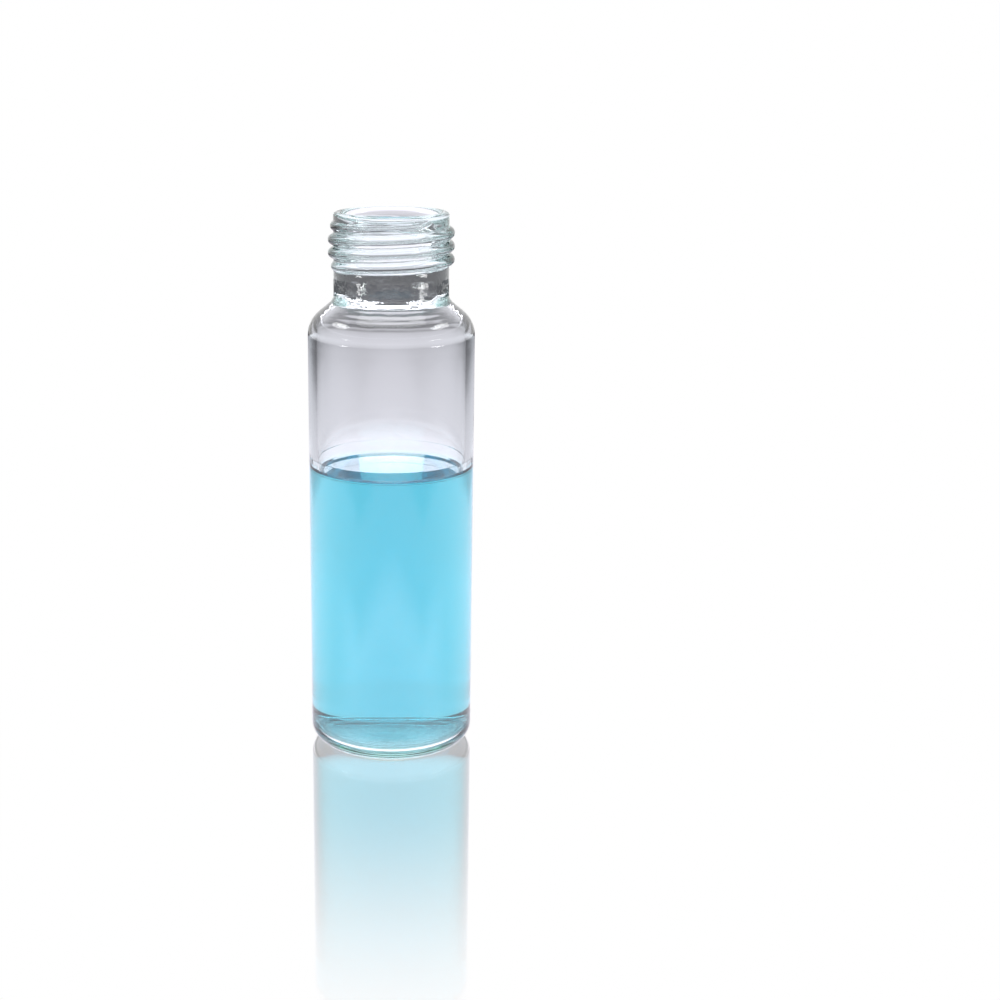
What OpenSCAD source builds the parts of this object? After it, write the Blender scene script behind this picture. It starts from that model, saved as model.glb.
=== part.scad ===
// Glass sample vial: a 20 ml screw-neck vial drawn from clear glass tube, half filled with a
// light blue sample. Millimetres. The origin is the centre of the base, in the plane that the
// vial stands on, and +Z runs up through the mouth.

/* [Body] */
// Outside diameter of the body
body_d = 23; // [18:0.5:30]
// Height from the standing ring to the top of the lip
total_h = 75.7; // [60:0.1:110]
// Wall of the body
body_wall = 1.2; // [0.8:0.1:1.8]
// Outside radius of the heel, where the body turns into the base
heel_r = 2.5; // [1:0.1:3.5]

/* [Base] */
// Thickness of the base
base_t = 1.4; // [0.8:0.1:3]
// Rise of the middle of the base above the standing ring
push_up = 0.6; // [0.2:0.1:1.5]
// Inside diameter of the standing ring
ring_d = 13; // [8:0.5:14]
// Width of the slope between the standing ring and the raised middle
push_up_slope = 3.25; // [1.5:0.25:3.5]
// Radius of the bend between the slope and the raised middle
push_up_r = 18; // [1:1:20]

/* [Shoulder] */
// Slope of the shoulder below the horizontal, in degrees
shoulder_angle = 40; // [25:1:60]
// Outside radius between the shoulder and the body
shoulder_r = 4.2; // [2:0.1:5]
// Inside radius between the shoulder and the body
inner_shoulder_r = 2.8; // [1:0.1:4]
// Thickness of the glass in the shoulder
shoulder_wall = 0.95; // [0.8:0.05:2]

/* [Neck] */
// Diameter of the neck at the root of the thread
neck_d = 15.8; // [14:0.1:18]
// Diameter of the bore through the neck
bore_d = 12.4; // [10:0.1:12.8]
// Height from the foot of the neck to the top of the lip
neck_h = 11.9; // [10:0.1:16]
// Radius of the fillet at the foot of the neck
neck_fillet = 1.6; // [0.5:0.1:2]
// Radius of the bend inside the foot of the neck
bore_fillet = 2.5; // [0.5:0.1:4]
// Outside radius of the melted lip
lip_r = 0.5; // [0.3:0.05:0.7]
// How much wider the bore is at the lip, on each side
mouth_flare = 0.6; // [0.2:0.05:0.8]
// Depth over which the bore widens
mouth_depth = 1.1; // [0.8:0.1:2]

/* [Thread] */
// Rise of the thread in one turn
thread_pitch = 1.8; // [1.6:0.05:2.4]
// Height of the rounded thread above the neck
thread_h = 0.75; // [0.4:0.05:1]
// Width of the groove between neighbouring turns, at the root
thread_gap = 0.2; // [0.05:0.05:0.6]
// Length of the thread in turns, with both run-outs
thread_turns = 3.6; // [2.5:0.1:4]
// Length of each run-out in turns
thread_fade = 0.6; // [0.3:0.05:1]
// Distance from the top of the lip down to the upper end of the thread
thread_top = 1.3; // [1:0.05:2]
// Direction of the thread's upper end about the axis, in degrees
thread_end_angle = 300; // [0:5:360]

/* [Sample] */
// Depth of the liquid at the middle of the vial
sample_depth = 38.1; // [10:0.1:45]
// Rise of the liquid where it wets the glass
meniscus_rise = 1.75; // [0.5:0.05:2.5]
// Thickness of that film of liquid at its foot
film_t = 0.4; // [0.2:0.05:1]
// Radius between the film and the level surface
film_r = 0.3; // [0.1:0.05:1]
// Clearance between the liquid and the glass
sample_gap = 0.02; // [0.01:0.01:0.1]

/* [Hidden] */

body_r = body_d / 2;
inner_r = body_r - body_wall;
neck_r = neck_d / 2;
bore_r = bore_d / 2;
ring_r = ring_d / 2;
middle_r = ring_r - push_up_slope;          // raised middle of the base
ring_bend_r = 2;                            // where the slope leaves the standing ring
thread_w = thread_pitch - thread_gap;
mouth_r = 0.85;                             // inside edge of the lip
mouth_bend_r = 3;                           // where the flare runs into the bore

// The outside of the shoulder is a straight slope between these two corners.
neck_foot_z = total_h - neck_h;
shoulder_z = neck_foot_z - (body_r - neck_r) * tan(shoulder_angle);

// Its inside is parallel to it, one shoulder_wall deeper.
slope_drop = shoulder_wall / cos(shoulder_angle);
bore_foot_z = neck_foot_z + (neck_r - bore_r) * tan(shoulder_angle) - slope_drop;
inner_shoulder_z = neck_foot_z - (inner_r - neck_r) * tan(shoulder_angle) - slope_drop;

inner_heel_r = heel_r - body_wall / 2;

// The liquid keeps below the shoulder, whatever depth is asked for.
floor_z = base_t + push_up;
highest_z = inner_shoulder_z - inner_shoulder_r - meniscus_rise;
surface_z = min(floor_z + sample_depth, highest_z);
liquid_r = inner_r - sample_gap;

// Steps of the curves
turn_facets = 120;
arc_step = 7.5;                             // degrees along a rounded corner
thread_steps = 48;                          // rings in one turn of the thread
section_steps = 10;                         // flats across the thread's section
thread_sink = 0.2;                          // how deep the thread is rooted in the neck

// ---- outlines -------------------------------------------------------------------------------

function unit(v) = v / norm(v);

// The signed turn from angle a to angle b, the short way round
function short_turn(a, b) = let (d = (b - a) % 360) d > 180 ? d - 360 : d < -180 ? d + 360 : d;

// The corner b of the path a-b-c, rounded to radius r. The radius gives way where a side is
// too short to hold it.
function corner(a, b, c, r) =
    let (
        to_a = unit(a - b),
        to_c = unit(c - b),
        half = acos(max(-1, min(1, to_a * to_c))) / 2,
        room = min(norm(a - b), norm(c - b)) / 2,
        fit_r = min(r, room * tan(half)),
        centre = b + unit(to_a + to_c) * fit_r / sin(half),
        first = b + to_a * fit_r / tan(half) - centre,
        last = b + to_c * fit_r / tan(half) - centre,
        start = atan2(first.y, first.x),
        sweep = short_turn(start, atan2(last.y, last.x)),
        steps = max(1, ceil(abs(sweep) / arc_step))
    )
    [for (i = [0:steps]) let (t = start + sweep * i / steps) centre + fit_r * [cos(t), sin(t)]];

// A path of [radius, height, corner radius] entries with its inner corners rounded
function rounded(path) = [
    for (i = [0:len(path) - 1])
        let (p = [path[i].x, path[i].y])
        if (i == 0 || i == len(path) - 1 || path[i].z == 0) p
        else each corner([path[i - 1].x, path[i - 1].y], p, [path[i + 1].x, path[i + 1].y], path[i].z)
];

// The floor of the cavity from the axis to radius r, raised by lift
function floor_path(r, lift) = [
    [0, floor_z + lift, 0],
    [middle_r, floor_z + lift, push_up_r],
    [ring_r, base_t + lift, ring_bend_r],
    [r, base_t + lift, inner_heel_r],
];

// Underside, heel, body, shoulder, neck and lip, from the axis to the bore
outside_path = [
    [0, push_up, 0],
    [middle_r, push_up, push_up_r],
    [ring_r, 0, ring_bend_r],
    [body_r, 0, heel_r],
    [body_r, shoulder_z, shoulder_r],
    [neck_r, neck_foot_z, neck_fillet],
    [neck_r, total_h, lip_r],
];

// Lip, bore, shoulder and wall of the cavity, from the mouth down to the floor
inside_path = concat(
    [
        [bore_r + mouth_flare, total_h, mouth_r],
        [bore_r, total_h - mouth_depth, mouth_bend_r],
        [bore_r, bore_foot_z, bore_fillet],
        [inner_r, inner_shoulder_z, inner_shoulder_r],
    ],
    [for (i = [3:-1:0]) floor_path(inner_r, 0)[i]]
);

// ---- thread ---------------------------------------------------------------------------------

function smooth(x) = let (t = max(0, min(1, x))) t * t * (3 - 2 * t);

// Share of its full height that the thread has, a number of turns from its lower end
function thread_share(turn) = smooth(min(turn, thread_turns - turn) / thread_fade);

// One section of the thread: half an ellipse, narrower where it runs out
function thread_section(turn) =
    let (
        share = thread_share(turn),
        angle = thread_end_angle - 360 * (thread_turns - turn),
        mid_z = total_h - thread_top - thread_pitch * (thread_turns - turn),
        width = thread_w * (0.5 + 0.5 * share)
    )
    [for (k = [0:section_steps])
        let (
            t = 180 * (1 - k / section_steps),
            r = neck_r - thread_sink + (thread_sink + thread_h * share) * sin(t)
        )
        [r * cos(angle), r * sin(angle), mid_z + cos(t) * width / 2]];

module thread() {
    rings = ceil(thread_turns * thread_steps);
    size = section_steps + 1;
    points = [for (i = [0:rings]) each thread_section(thread_turns * i / rings)];
    sides = [
        for (i = [0:rings - 1], k = [0:size - 1])
            let (
                a = i * size + k,
                b = i * size + (k + 1) % size
            )
            each [[a, b + size, a + size], [a, b, b + size]]
    ];
    lower_end = [for (k = [size - 1:-1:0]) k];
    upper_end = [for (k = [0:size - 1]) rings * size + k];
    polyhedron(points, concat([lower_end, upper_end], sides));
}

// ---- pieces ---------------------------------------------------------------------------------

// The vial is one piece of glass: tube, drawn-in neck, melted lip, pressed thread and base.
module vial() {
    color([0.84, 0.93, 0.92, 0.4]) {
        rotate_extrude($fn = turn_facets)
            polygon(rounded(concat(outside_path, inside_path)));
        thread();
    }
}

// The sample fills the cavity's own outline. A steep film of it climbs the glass at its surface.
module liquid() {
    free_surface = [
        [liquid_r, surface_z + meniscus_rise, 0],
        [liquid_r - film_t, surface_z, film_r],
        [0, surface_z, 0],
    ];
    color([0.36, 0.79, 0.9, 0.75])
        rotate_extrude($fn = turn_facets)
            polygon(rounded(concat(floor_path(liquid_r, sample_gap), free_surface)));
}

vial();
liquid();
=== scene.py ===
"""The looks of the glass sample vial: clear drawn glass, its pressed thread and the light blue sample.

Everything is in metres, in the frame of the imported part: the origin is the centre of the base and
+Z runs up through the mouth. Radii and heights come from the frame where it states them.
"""

import math

import bpy
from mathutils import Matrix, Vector


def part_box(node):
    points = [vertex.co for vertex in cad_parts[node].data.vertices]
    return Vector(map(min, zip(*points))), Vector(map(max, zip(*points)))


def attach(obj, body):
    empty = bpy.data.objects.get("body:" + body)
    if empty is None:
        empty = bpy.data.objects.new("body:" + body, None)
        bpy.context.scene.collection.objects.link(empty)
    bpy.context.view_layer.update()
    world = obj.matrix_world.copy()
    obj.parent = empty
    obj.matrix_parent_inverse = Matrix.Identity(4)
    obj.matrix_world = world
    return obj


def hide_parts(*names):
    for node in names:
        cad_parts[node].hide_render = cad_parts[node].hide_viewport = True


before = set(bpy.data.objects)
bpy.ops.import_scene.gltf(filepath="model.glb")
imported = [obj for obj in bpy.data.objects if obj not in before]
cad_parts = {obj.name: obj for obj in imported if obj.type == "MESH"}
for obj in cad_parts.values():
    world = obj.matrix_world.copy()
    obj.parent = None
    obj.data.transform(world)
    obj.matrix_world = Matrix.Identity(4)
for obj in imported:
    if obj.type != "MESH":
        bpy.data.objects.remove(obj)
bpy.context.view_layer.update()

MM = 0.001


# ---- sizes ----------------------------------------------------------------------------------

vial_low, vial_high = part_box("vial")
liquid_low, liquid_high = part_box("liquid")

BODY_R = vial_high.x
TOTAL_H = vial_high.z
SAMPLE_GAP = 0.02 * MM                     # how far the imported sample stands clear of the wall
INNER_R = liquid_high.x + SAMPLE_GAP
HEEL_R = 2.5 * MM
BASE_T = 1.4 * MM
PUSH_UP = 0.6 * MM
RING_R = 6.5 * MM
MIDDLE_R = 3.25 * MM
PUSH_UP_R = 18 * MM
RING_BEND_R = 2 * MM

SHOULDER_SLOPE = math.radians(40)
SHOULDER_R = 4.2 * MM
INNER_SHOULDER_R = 2.8 * MM
SHOULDER_WALL = 0.95 * MM

NECK_R = 7.9 * MM
BORE_R = 6.2 * MM
NECK_FOOT_Z = TOTAL_H - 11.9 * MM
NECK_FILLET = 1.6 * MM
BORE_FILLET = 2.5 * MM
LIP_R = 0.5 * MM
MOUTH_R = 0.85 * MM
MOUTH_FLARE = 0.6 * MM
MOUTH_DEPTH = 1.1 * MM
MOUTH_BEND_R = 3 * MM

THREAD_PITCH = 1.8 * MM
THREAD_H = 0.75 * MM
THREAD_W = 1.6 * MM
THREAD_TURNS = 3.6
THREAD_FADE = 0.6
THREAD_TOP = 1.3 * MM
THREAD_END = math.radians(300)
THREAD_SINK = 0.2 * MM
THREAD_ROOT = 0.3 * MM                    # how far the ridge blends into the neck

MENISCUS_RISE = 1.75 * MM
SURFACE_Z = liquid_high.z - MENISCUS_RISE  # the level part of the sample's surface
WETTING = 0.03 * MM                        # how far the liquid's side lies inside the glass

# The film of liquid on the glass: (depth from its side, height above the surface, corner radius)
FILM = ((0, 1.75, 0), (0.12, 1.70, 0.04), (0.15, 0.62, 0.3), (0.30, 0.22, 0.3), (0.75, 0.00, 0.5))

# Where the glass is uneven, in heights above the neck's foot: it starts, is full, starts to end
# and has ended
BARE_NECK = (0.0 * MM, 0.7 * MM, 3.0 * MM, 3.8 * MM)
SHOULDER = (-3.0 * MM, -2.2 * MM, -0.4 * MM, 0.2 * MM)
RING_SPACING = 0.62 * MM                   # of the forming rings in the shoulder
WAVE_PERIOD = 0.314                        # of Blender's wave texture at a scale of 1

# Painted light on the table, as glass sees it, a glowing pool that is brightest near the vial: (metres
# from the vial, brightness). IN_FRONT is the camera's side.
PAINTED_GLOW = ((0.0, 1.1), (0.19, 1.07), (0.22, 0.72), (0.29, 0.66), (0.345, 0.56), (0.42, 0.26),
         (0.5, 0.14), (0.6, 0.10))
PAINTED_GLOW_IN_FRONT = ((0.0, 1.2), (0.03, 1.6), (0.08, 1.75), (0.12, 1.07)) + PAINTED_GLOW[1:]
LOBE = 1.9                                 # the painted pool of light is two crossed ovals, this long for 1 wide
FRONT_TO_SIDE = (-0.7, -0.1)               # Y over distance, where IN_FRONT passes over to the rest
TABLE_R = 0.5
TABLE_DROP = 0.02 * MM                     # how far the table lies below the vial
MIRROR_SHARE = 0.6                         # of the table's mirror, where it is strongest
MIRROR_FADE = (0.02, 0.088)                # metres from the vial where it begins to fade and has gone

# What glass sees of the room: (elevation in degrees, brightness). AHEAD is behind the vial, and
# ASIDE is everywhere else.
AHEAD = ((-90, 0.3), (-10, 0.12), (11.4, 0.12), (11.6, 3.2), (14.3, 3.2), (14.5, 0.15),
         (16.2, 0.15), (16.8, 1.1), (48, 1.2), (58, 0.15), (90, 0.15))
ASIDE = ((-90, 0.3), (-10, 0.12), (11.4, 0.12), (11.6, 1.5), (14.3, 1.5), (14.5, 0.2),
         (28, 0.25), (31, 0.5), (48, 0.5), (58, 0.15), (90, 0.15))
ASIDE_TO_AHEAD = (0.45, 0.80)              # Y of the direction, where the one passes over to the other

# Cycles gives the camera's own ray a depth of 1 at the sky, and one that the table mirrors 2
MIRRORED_BELOW = 2.5

# Soft boxes: (name, azimuth in degrees from the camera's side, then distance, height, width and
# tallness in metres, and radiance)
LAMPS = (
    ("low_strip_left", -66, 0.36, 0.017, 0.10, 0.012, 12),
    ("low_strip_right", 66, 0.36, 0.017, 0.13, 0.012, 12),
    ("high_box_left", -100, 0.30, 0.32, 0.20, 0.10, 5),
    ("high_box_right", 95, 0.30, 0.33, 0.22, 0.10, 5),
    ("soft_box_top", 180, 0.05, 0.55, 0.5, 0.5, 1.5),
)

# The photo's camera, solved from the body's edges and the ellipses of lip, shoulder and surface
CAMERA_PLACE = (0, -0.240, 0.0985)
CAMERA_PITCH = math.radians(90 - 14.75)
CAMERA_LENS = 63.3
CAMERA_SENSOR = 36
CAMERA_SHIFT = 0.1087

BOUNCES = 28                               # light can meet over twenty surfaces of glass and liquid
GLOSSY_BOUNCES = 12

AROUND = 256                               # facets round the axis
ARC_STEP = math.radians(5)                 # along a rounded corner
LONG_ROW = 1.6 * MM                        # longest facet along a plain stretch
FINE_ROW = 0.11 * MM                       # and where the thread runs


# ---- outlines -------------------------------------------------------------------------------

def corner(a, b, c, radius):
    """The corner b of the path a-b-c, rounded. The radius gives way where a side is short."""
    a, b, c = Vector(a), Vector(b), Vector(c)
    to_a, to_c = (a - b).normalized(), (c - b).normalized()
    half = math.acos(max(-1, min(1, to_a.dot(to_c)))) / 2
    room = min((a - b).length, (c - b).length) / 2
    radius = min(radius, room * math.tan(half))
    centre = b + (to_a + to_c).normalized() * radius / math.sin(half)
    first = b + to_a * radius / math.tan(half) - centre
    last = b + to_c * radius / math.tan(half) - centre
    start = math.atan2(first.y, first.x)
    sweep = (math.atan2(last.y, last.x) - start + math.pi) % (2 * math.pi) - math.pi
    steps = max(2, math.ceil(abs(sweep) / ARC_STEP))
    turns = [start + sweep * i / steps for i in range(steps + 1)]
    return [tuple(centre + radius * Vector((math.cos(t), math.sin(t)))) for t in turns]


def rounded(path):
    """A path of (radius, height, corner radius) with its inner corners rounded."""
    out = [path[0][:2]]
    for before, here, after in zip(path, path[1:], path[2:]):
        if here[2]:
            out += corner(before[:2], here[:2], after[:2], here[2])
        else:
            out.append(here[:2])
    return out + [path[-1][:2]]


def spaced(path, longest):
    """The path with its long stretches cut, so that none is longer than longest(middle)."""
    out = [path[0]]
    for a, b in zip(path, path[1:]):
        length = math.dist(a, b)
        cuts = max(1, math.ceil(length / longest((a[0] + b[0]) / 2, (a[1] + b[1]) / 2)))
        out += [(a[0] + (b[0] - a[0]) * i / cuts, a[1] + (b[1] - a[1]) * i / cuts)
                for i in range(1, cuts + 1)]
    return out


def floor_path(radius):
    """The floor of the cavity, from the axis to its wall."""
    return [
        (0, BASE_T + PUSH_UP, 0),
        (MIDDLE_R, BASE_T + PUSH_UP, PUSH_UP_R),
        (RING_R, BASE_T, RING_BEND_R),
        (radius, BASE_T, HEEL_R - (BODY_R - INNER_R) / 2),
    ]


def outside_path():
    """Underside, heel, body, shoulder, neck and lip, from the axis to the top of the lip."""
    shoulder_z = NECK_FOOT_Z - (BODY_R - NECK_R) * math.tan(SHOULDER_SLOPE)
    return [
        (0, PUSH_UP, 0),
        (MIDDLE_R, PUSH_UP, PUSH_UP_R),
        (RING_R, 0, RING_BEND_R),
        (BODY_R, 0, HEEL_R),
        (BODY_R, shoulder_z, SHOULDER_R),
        (NECK_R, NECK_FOOT_Z, NECK_FILLET),
        (NECK_R, TOTAL_H, LIP_R),
    ]


def inside_path():
    """Lip, bore, shoulder and wall of the cavity, from the top of the lip to the axis."""
    slope = math.tan(SHOULDER_SLOPE)
    drop = SHOULDER_WALL / math.cos(SHOULDER_SLOPE)
    return [
        (BORE_R + MOUTH_FLARE, TOTAL_H, MOUTH_R),
        (BORE_R, TOTAL_H - MOUTH_DEPTH, MOUTH_BEND_R),
        (BORE_R, NECK_FOOT_Z + (NECK_R - BORE_R) * slope - drop, BORE_FILLET),
        (INNER_R, NECK_FOOT_Z - (INNER_R - NECK_R) * slope - drop, INNER_SHOULDER_R),
    ] + floor_path(INNER_R)[::-1]


def thread_radius(angle, z):
    """Radius of the thread's surface at a place on the neck, or 0 where there is no thread."""
    best = 0
    first = ((THREAD_END - angle) / (2 * math.pi)) % 1
    for whole in range(math.ceil(THREAD_TURNS)):
        turn = first + whole
        if turn > THREAD_TURNS:
            break
        t = min(1, min(turn, THREAD_TURNS - turn) / THREAD_FADE)
        share = t * t * (3 - 2 * t)
        mid_z = TOTAL_H - THREAD_TOP - THREAD_PITCH * turn
        across = (z - mid_z) / (THREAD_W * (0.5 + 0.5 * share))
        if abs(across) < 0.5:
            ridge = math.sqrt(1 - 4 * across * across)
            best = max(best, NECK_R - THREAD_SINK + (THREAD_SINK + THREAD_H * share) * ridge)
    return best


def blended(a, b, reach):
    """The larger of a and b, with a smooth passage where they are within reach of each other."""
    h = max(0, reach - abs(a - b)) / reach
    return max(a, b) + h * h * reach / 4


def wetted_edge(side):
    """The liquid's surface from the glass to the axis: a thin film that climbs the glass, nearly
    upright and with a blunt upper edge, and its curved foot on the level surface."""
    film = [(side - d * MM, SURFACE_Z + z * MM, r * MM) for d, z, r in FILM]
    return film + [(0, SURFACE_Z, 0)]


# ---- meshes ---------------------------------------------------------------------------------

def lathe(name, path, radius_at=None, sharp=()):
    """A closed mesh: the path turned about Z. It starts and ends on the axis. The path's points
    that sharp names keep a hard edge, and all the rest is smooth."""
    turns = [2 * math.pi * k / AROUND for k in range(AROUND)]
    points = [(0, 0, path[0][1]), (0, 0, path[-1][1])]
    rings = path[1:-1]
    for r, z in rings:
        for t in turns:
            reach = radius_at(r, z, t) if radius_at else r
            points.append((reach * math.cos(t), reach * math.sin(t), z))

    def at(ring, k):
        return 2 + ring * AROUND + k % AROUND

    faces = [(0, at(0, k + 1), at(0, k)) for k in range(AROUND)]
    for ring in range(len(rings) - 1):
        faces += [(at(ring, k), at(ring, k + 1), at(ring + 1, k + 1), at(ring + 1, k))
                  for k in range(AROUND)]
    last = len(rings) - 1
    faces += [(1, at(last, k), at(last, k + 1)) for k in range(AROUND)]

    mesh = bpy.data.meshes.new(name)
    mesh.from_pydata(points, [], faces)
    mesh.polygons.foreach_set("use_smooth", [True] * len(mesh.polygons))
    mesh.update()
    hard = {path.index(point) - 1 for point in sharp}
    for edge in mesh.edges:
        a, b = ((v - 2) // AROUND for v in edge.vertices)
        edge.use_edge_sharp = a == b and a in hard
    piece = bpy.data.objects.new(name, mesh)
    bpy.context.scene.collection.objects.link(piece)
    return piece


def make_vial():
    """The glass. Its outside carries the thread, and its rows are fine there."""
    thread_foot = TOTAL_H - THREAD_TOP - THREAD_PITCH * THREAD_TURNS - THREAD_W
    outside = spaced(rounded(outside_path() + inside_path()[:1])[:-1],
                     lambda r, z: FINE_ROW if z > thread_foot and r > NECK_R - LIP_R else LONG_ROW)
    inside = spaced(rounded(outside_path()[-1:] + inside_path())[1:], lambda r, z: LONG_ROW)

    def threaded(r, z, angle):
        ridge = thread_radius(angle, z) if r > NECK_R - LIP_R and z > thread_foot else 0
        return blended(r, ridge, THREAD_ROOT) if ridge else r

    return lathe("vial_glass", outside + inside, threaded)


def make_liquid():
    """The sample. Its upper edge on the glass stays sharp."""
    side = INNER_R + WETTING
    edge = wetted_edge(side)
    path = spaced(rounded(floor_path(side) + edge), lambda r, z: LONG_ROW)
    return lathe("sample_liquid", path, sharp=[edge[0][:2]])


# ---- materials ------------------------------------------------------------------------------

def new_material(name):
    material = bpy.data.materials.new(name)
    material.use_nodes = True
    material.node_tree.nodes.clear()
    return material, material.node_tree


def feed(tree, socket, value):
    """Link a socket to another one, or set it to a plain value."""
    if isinstance(value, bpy.types.NodeSocket):
        tree.links.new(value, socket)
    else:
        socket.default_value = value


def add(tree, kind, settings=None, **inputs):
    """A node with its settings and its inputs. An underscore stands for a space in a name."""
    node = tree.nodes.new(kind)
    for key, value in (settings or {}).items():
        setattr(node, key, value)
    for key, value in inputs.items():
        feed(tree, node.inputs[key.replace("_", " ")], value)
    return node


def in_order(tree, kind, settings, *values):
    """A node whose inputs are given in their order, because several share one name."""
    node = add(tree, kind, settings)
    for socket, value in zip(node.inputs, values):
        feed(tree, socket, value)
    return node.outputs[0]


def calculate(tree, operation, *values):
    return in_order(tree, "ShaderNodeMath", {"operation": operation}, *values)


def norm(tree, vector):
    node = add(tree, "ShaderNodeVectorMath", {"operation": "LENGTH"}, Vector=vector)
    return node.outputs["Value"]


def own_place(tree):
    """The place on the object, in its own metres."""
    return add(tree, "ShaderNodeTexCoord").outputs["Object"]


def scaled_noise(tree, scale, detail, stretch=(1, 1, 1)):
    """Noise in the object's own metres: scale is features per metre, stretch squeezes an axis."""
    mapped = add(tree, "ShaderNodeMapping", Vector=own_place(tree), Scale=stretch)
    noise = add(tree, "ShaderNodeTexNoise", Vector=mapped.outputs["Vector"], Scale=scale,
                Detail=detail)
    return noise.outputs["Fac"]


def climb(tree, value, start, stop, smooth=False):
    """0 at start and before it, 1 at stop and past it."""
    kind = {"interpolation_type": "SMOOTHSTEP" if smooth else "LINEAR"}
    return add(tree, "ShaderNodeMapRange", kind, Value=value, From_Min=start,
               From_Max=stop).outputs["Result"]


def between(tree, low, full, end, high):
    """1 between the heights full and end, falling to 0 at low and high."""
    z = add(tree, "ShaderNodeSeparateXYZ", Vector=own_place(tree)).outputs["Z"]
    return calculate(tree, "MULTIPLY", climb(tree, z, low, full), climb(tree, z, high, end))


def bumps(tree, layers):
    """A normal with these layers of (height, strength, distance) on top of each other."""
    normal = None
    for height, strength, distance in layers:
        bump = add(tree, "ShaderNodeBump", Strength=strength, Distance=distance, Height=height)
        if normal:
            tree.links.new(normal, bump.inputs["Normal"])
        normal = bump.outputs["Normal"]
    return normal


def mixed_shader(tree, share, a, b):
    """Shader a where share is 0, and b where it is 1."""
    return in_order(tree, "ShaderNodeMixShader", None, share, a, b)


def mixed_colour(tree, share, a, b):
    """Colour a where share is 0, and b where it is 1."""
    mix = add(tree, "ShaderNodeMix", {"data_type": "RGBA"})
    for socket, value in ((0, share), (6, a), (7, b)):       # the ones that this data type uses
        feed(tree, mix.inputs[socket], value)
    return mix.outputs[2]


def clear_material(name, relief, ior, colour, density):
    """A clear substance: its surface, and the tint that grows with the light's way through it."""
    material, tree = new_material(name)
    surface = add(tree, "ShaderNodeBsdfPrincipled", Base_Color=(1, 1, 1, 1), IOR=ior, Roughness=0.0,
                  Transmission_Weight=1.0, Normal=relief(tree))
    tint = add(tree, "ShaderNodeVolumeAbsorption", Color=colour, Density=density)
    add(tree, "ShaderNodeOutputMaterial", Surface=surface.outputs["BSDF"],
        Volume=tint.outputs["Volume"])
    return material


def glass_relief(tree):
    """Faint draw lines and waves all over, dimples in the bare neck and rings in the shoulder."""
    rings = add(tree, "ShaderNodeTexWave", {"bands_direction": "Z"}, Vector=own_place(tree),
                Scale=WAVE_PERIOD / RING_SPACING, Distortion=1.2, Detail=1.0).outputs["Fac"]
    dimples = scaled_noise(tree, 900, 2, (1, 1, 0.7))
    neck = between(tree, *(NECK_FOOT_Z + z for z in BARE_NECK))
    shoulder = between(tree, *(NECK_FOOT_Z + z for z in SHOULDER))
    return bumps(tree, (
        (scaled_noise(tree, 160, 2, (1, 1, 0.06)), 0.25, 0.04 * MM),
        (scaled_noise(tree, 420, 3), 0.2, 0.02 * MM),
        (calculate(tree, "MULTIPLY", dimples, neck), 0.6, 0.09 * MM),
        (calculate(tree, "MULTIPLY", rings, shoulder), 0.5, 0.02 * MM),
    ))


def sample_relief(tree):
    """A faint swirl, and ripples in the film on the glass."""
    fade = 0.1 * MM
    film = between(tree, SURFACE_Z, SURFACE_Z + fade, liquid_high.z, liquid_high.z + fade)
    ripples = calculate(tree, "MULTIPLY", scaled_noise(tree, 700, 1), film)
    return bumps(tree, (
        (scaled_noise(tree, 90, 2), 0.1, 0.02 * MM),
        (ripples, 0.6, 0.06 * MM),
    ))


def glass_material():
    """Clear glass that looks faintly green where light goes a long way through it."""
    return clear_material("clear_glass", glass_relief, ior=1.51, colour=(0.52, 0.96, 0.90, 1),
                          density=50)


def liquid_material():
    """The light blue sample."""
    return clear_material("blue_sample", sample_relief, ior=1.34, colour=(0.01, 0.786, 0.864, 1),
                          density=125)


# ---- stage ----------------------------------------------------------------------------------

def set_stops(ramp, stops):
    """Replace a colour ramp's stops with these (position, colour) pairs."""
    elements = ramp.color_ramp.elements
    while len(elements) > 1:
        elements.remove(elements[-1])
    elements[0].position, elements[0].color = stops[0]
    for position, colour in stops[1:]:
        elements.new(position).color = colour


def painted_glow_by_distance(tree, distance, stops):
    """Painted light: a near-white brightness by distance, from (distance in metres, brightness) stops.
    """
    ramp = add(tree, "ShaderNodeValToRGB", Fac=distance)
    set_stops(ramp, [(d, (1.02 * v, 0.97 * v, 1.07 * v, 1)) for d, v in stops])
    return ramp.outputs["Color"]


def sky(tree, height, stops):
    """A near-white by the height of the direction, from (elevation in degrees, brightness) stops."""
    ramp = add(tree, "ShaderNodeValToRGB", Fac=height)
    set_stops(ramp, [((1 + math.sin(math.radians(angle))) / 2, (1.02 * v, 0.97 * v, 1.06 * v, 1))
                     for angle, v in stops])
    return ramp.outputs["Color"]


def seen_table(tree, distance):
    """The table for the camera: white, with a faint mirror near the vial."""
    near, gone = MIRROR_FADE
    fade = add(tree, "ShaderNodeMapRange", {"interpolation_type": "SMOOTHSTEP"}, Value=distance,
               From_Min=near, From_Max=gone, To_Min=MIRROR_SHARE, To_Max=0.0)
    white = add(tree, "ShaderNodeEmission", Color=(1, 1, 1, 1), Strength=1.0)
    mirror = add(tree, "ShaderNodeBsdfGlossy", Color=(1, 1, 1, 1), Roughness=0.02)
    return mixed_shader(tree, fade.outputs["Result"], white.outputs[0], mirror.outputs[0])


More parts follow.
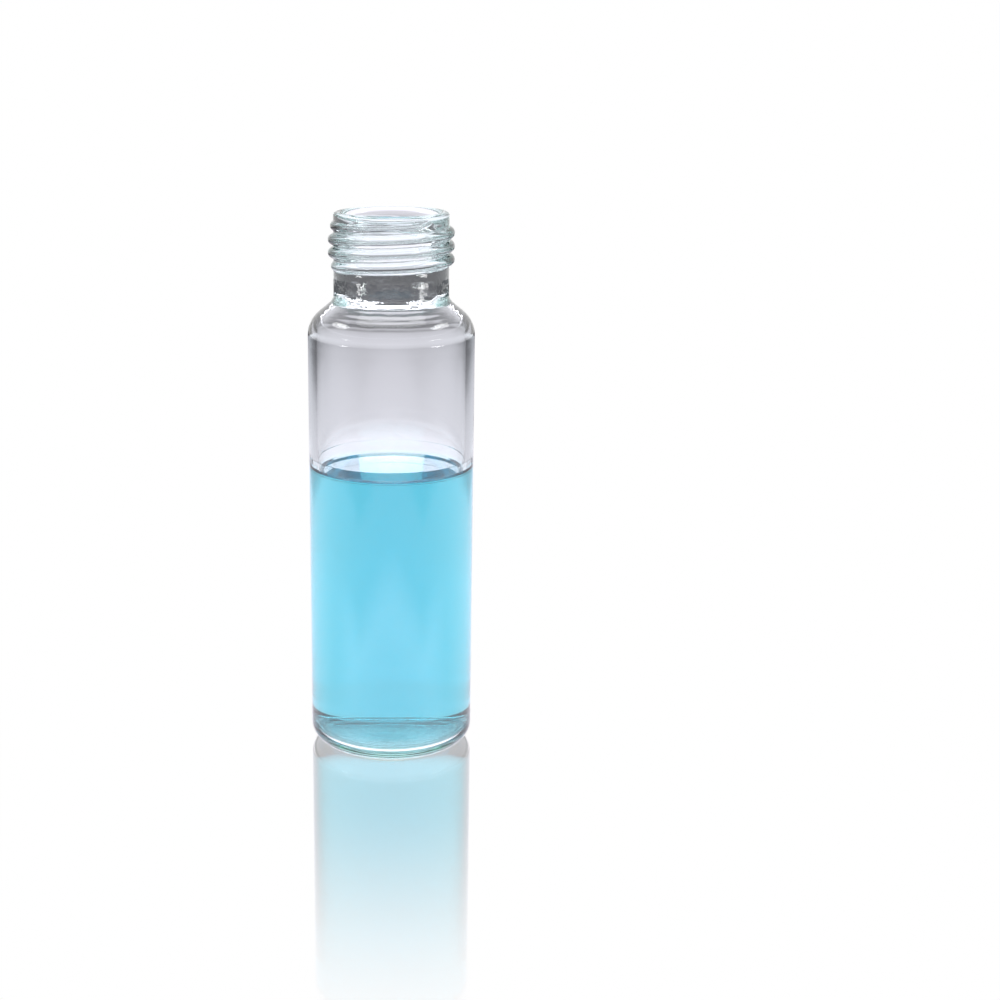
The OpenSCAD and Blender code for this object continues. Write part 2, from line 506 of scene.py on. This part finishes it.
def painted_table_light(tree, place, distance):
    """The table for glass: painted light, an emission that is bright near the vial, most of all in
    front of it, and dark far off.
    """
    lobes = []
    for stretch in ((LOBE, 1, 1), (1, LOBE, 1)):
        lobe = in_order(tree, "ShaderNodeVectorMath", {"operation": "MULTIPLY"}, place, stretch)
        lobes.append(norm(tree, lobe))
    nearer = calculate(tree, "MINIMUM", *lobes)
    y = add(tree, "ShaderNodeSeparateXYZ", Vector=place).outputs["Y"]
    elsewhere = climb(tree, calculate(tree, "DIVIDE", y, distance), *FRONT_TO_SIDE, smooth=True)
    # painted light: the table's glow near the vial, brighter on the camera's side
    colour = mixed_colour(tree, elsewhere, painted_glow_by_distance(tree, nearer, PAINTED_GLOW_IN_FRONT),
                          painted_glow_by_distance(tree, nearer, PAINTED_GLOW))
    return add(tree, "ShaderNodeEmission", Strength=1.0, Color=colour).outputs[0]


def table_material():
    """The table, which looks different to the camera, to glass and to the light that falls on it.
    Glass sees painted light on it, an emission in place of its lit surface.
    """
    material, tree = new_material("white_table")
    path = add(tree, "ShaderNodeLightPath").outputs
    place = own_place(tree)
    distance = norm(tree, place)
    lit = add(tree, "ShaderNodeBsdfDiffuse", Color=(0.85, 0.85, 0.87, 1)).outputs[0]
    through = calculate(tree, "MAXIMUM", path["Is Glossy Ray"], path["Is Transmission Ray"])
    # glossy and transmission rays see the painted glow, not the lit table
    other = mixed_shader(tree, through, lit, painted_table_light(tree, place, distance))
    whole = mixed_shader(tree, path["Is Camera Ray"], other, seen_table(tree, distance))
    add(tree, "ShaderNodeOutputMaterial", Surface=whole)
    return material


def make_table():
    bpy.ops.mesh.primitive_circle_add(vertices=128, radius=TABLE_R, fill_type="TRIFAN")
    table = bpy.context.object
    table.name = "table"
    table.location.z = vial_low.z - TABLE_DROP
    table.data.materials.append(table_material())


def make_world():
    """White for the camera and for the table's mirror. All else sees the room by its direction."""
    world = bpy.data.worlds.new("studio")
    bpy.context.scene.world = world
    world.use_nodes = True
    tree = world.node_tree
    tree.nodes.clear()
    way = add(tree, "ShaderNodeTexCoord").outputs["Generated"]
    split = add(tree, "ShaderNodeSeparateXYZ", Vector=way).outputs
    height = climb(tree, split["Z"], -1.0, 1.0)
    ahead = climb(tree, split["Y"], *ASIDE_TO_AHEAD, smooth=True)
    room = mixed_colour(tree, ahead, sky(tree, height, ASIDE), sky(tree, height, AHEAD))
    around = add(tree, "ShaderNodeBackground", Strength=1.0, Color=room).outputs[0]
    white = add(tree, "ShaderNodeBackground", Strength=1.0, Color=(1, 1, 1, 1)).outputs[0]
    path = add(tree, "ShaderNodeLightPath").outputs
    early = calculate(tree, "LESS_THAN", path["Ray Depth"], MIRRORED_BELOW)
    mirrored = calculate(tree, "MULTIPLY", early, path["Is Glossy Ray"])
    plain = calculate(tree, "MAXIMUM", path["Is Camera Ray"], mirrored)
    add(tree, "ShaderNodeOutputWorld", Surface=mixed_shader(tree, plain, around, white))


def make_lamp(name, azimuth, distance, height, width, tall, radiance):
    """An elliptical soft box that faces the vial, from a row of LAMPS."""
    turn = math.radians(azimuth)
    lamp = bpy.data.lights.new(name, "AREA")
    lamp.shape = "ELLIPSE"
    lamp.size, lamp.size_y = width, tall
    lamp.energy = radiance * math.pi * (math.pi / 4 * width * tall)
    box = bpy.data.objects.new(name, lamp)
    box.location = (distance * math.sin(turn), -distance * math.cos(turn), height)
    aim = Vector((0, 0, TOTAL_H / 2)) - box.location
    box.rotation_euler = aim.to_track_quat("-Z", "Y").to_euler()
    box.visible_camera = False
    bpy.context.scene.collection.objects.link(box)


def make_camera():
    camera = bpy.data.cameras.new("camera")
    camera.sensor_width = CAMERA_SENSOR
    camera.lens = CAMERA_LENS
    camera.shift_x = CAMERA_SHIFT
    eye = bpy.data.objects.new("camera", camera)
    eye.location = CAMERA_PLACE
    eye.rotation_euler = (CAMERA_PITCH, 0, 0)
    bpy.context.scene.collection.objects.link(eye)
    bpy.context.scene.camera = eye


def allow_long_paths(settings):
    """Let light through all the surfaces of glass and liquid that it meets."""
    settings.max_bounces = BOUNCES
    settings.transmission_bounces = BOUNCES
    settings.glossy_bounces = GLOSSY_BOUNCES


# ---- scene ----------------------------------------------------------------------------------

bpy.context.scene.view_settings.view_transform = "Standard"
allow_long_paths(bpy.context.scene.cycles)
make_camera()
make_world()
make_table()
for row in LAMPS:
    make_lamp(*row)

vial = make_vial()
vial.data.materials.append(glass_material())
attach(vial, "root")
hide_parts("vial")

liquid = make_liquid()
liquid.data.materials.append(liquid_material())
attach(liquid, "root")
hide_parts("liquid")
